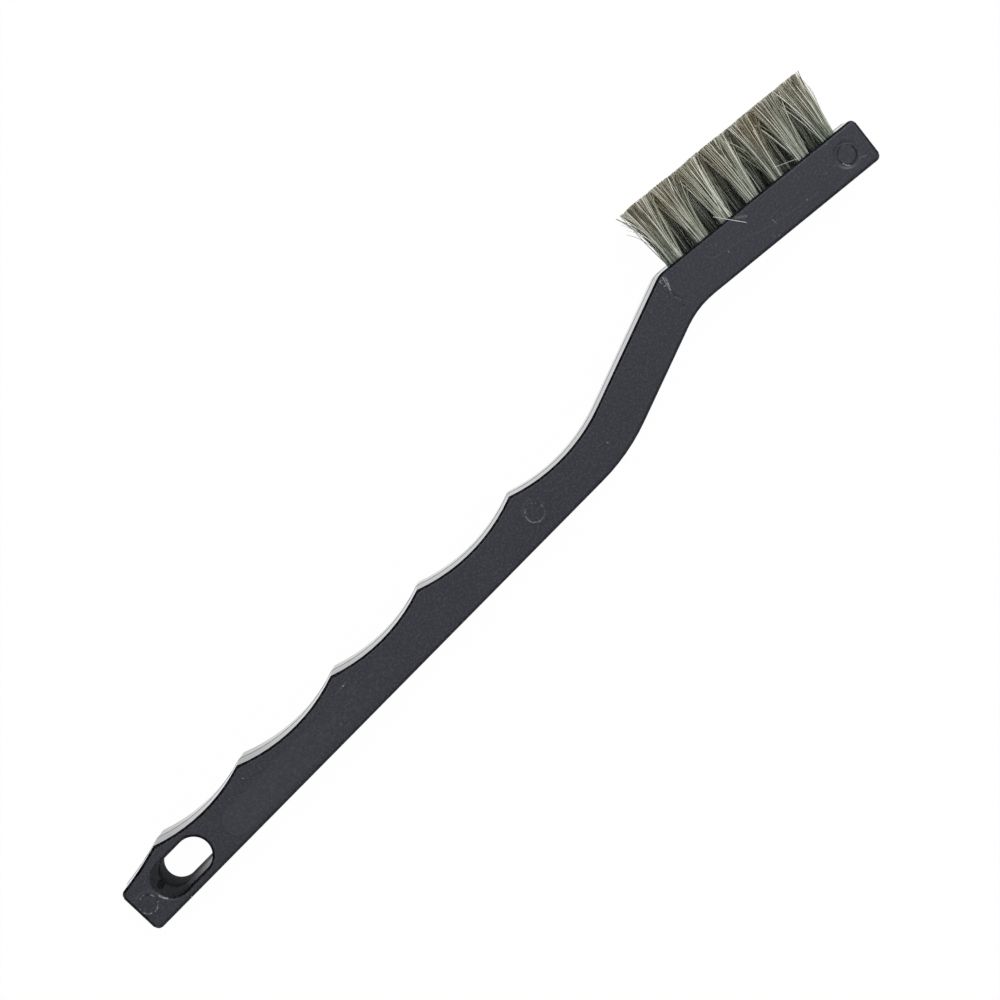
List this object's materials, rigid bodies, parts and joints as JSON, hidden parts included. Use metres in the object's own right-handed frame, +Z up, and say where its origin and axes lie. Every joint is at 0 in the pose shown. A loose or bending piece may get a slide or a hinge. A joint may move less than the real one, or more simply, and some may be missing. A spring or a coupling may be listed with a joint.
{
  "type": "crevice brush",
  "caption": "Black moulded scratch brush with a finger-scalloped handle, a hanging slot, a cranked neck and rows of natural-hair tufts set in its head.",
  "frame": {"origin": "centre of the hanging slot, on the broad face that the brush rests on", "axes": "+X along the straight back of the handle toward the head, +Y toward the side that the hair points to, +Z up through the width of the bar"},
  "size_m": [0.1844, 0.03, 0.0111],
  "materials": {
    "black_plastic": "satin moulded",
    "natural_hair": "natural vegetable hair, tan to grey-green",
    "anchor_wire": "drawn flat wire"
  },
  "bodies": {
    "root": {"handle": "black_plastic", "tuft_lower_1": "natural_hair", "tuft_lower_2": "natural_hair", "tuft_lower_3": "natural_hair", "tuft_lower_4": "natural_hair", "tuft_lower_5": "natural_hair", "tuft_lower_6": "natural_hair", "tuft_lower_7": "natural_hair", "tuft_middle_1": "natural_hair", "tuft_middle_2": "natural_hair", "tuft_middle_3": "natural_hair", "tuft_middle_4": "natural_hair", "tuft_middle_5": "natural_hair", "tuft_middle_6": "natural_hair", "tuft_upper_1": "natural_hair", "tuft_upper_2": "natural_hair", "tuft_upper_3": "natural_hair", "tuft_upper_4": "natural_hair", "tuft_upper_5": "natural_hair", "tuft_upper_6": "natural_hair", "tuft_upper_7": "natural_hair", "anchor_lower_1": "anchor_wire", "anchor_lower_2": "anchor_wire", "anchor_lower_3": "anchor_wire", "anchor_lower_4": "anchor_wire", "anchor_lower_5": "anchor_wire", "anchor_lower_6": "anchor_wire", "anchor_lower_7": "anchor_wire", "anchor_middle_1": "anchor_wire", "anchor_middle_2": "anchor_wire", "anchor_middle_3": "anchor_wire", "anchor_middle_4": "anchor_wire", "anchor_middle_5": "anchor_wire", "anchor_middle_6": "anchor_wire", "anchor_upper_1": "anchor_wire", "anchor_upper_2": "anchor_wire", "anchor_upper_3": "anchor_wire", "anchor_upper_4": "anchor_wire", "anchor_upper_5": "anchor_wire", "anchor_upper_6": "anchor_wire", "anchor_upper_7": "anchor_wire"}
  },
  "joints": []
}
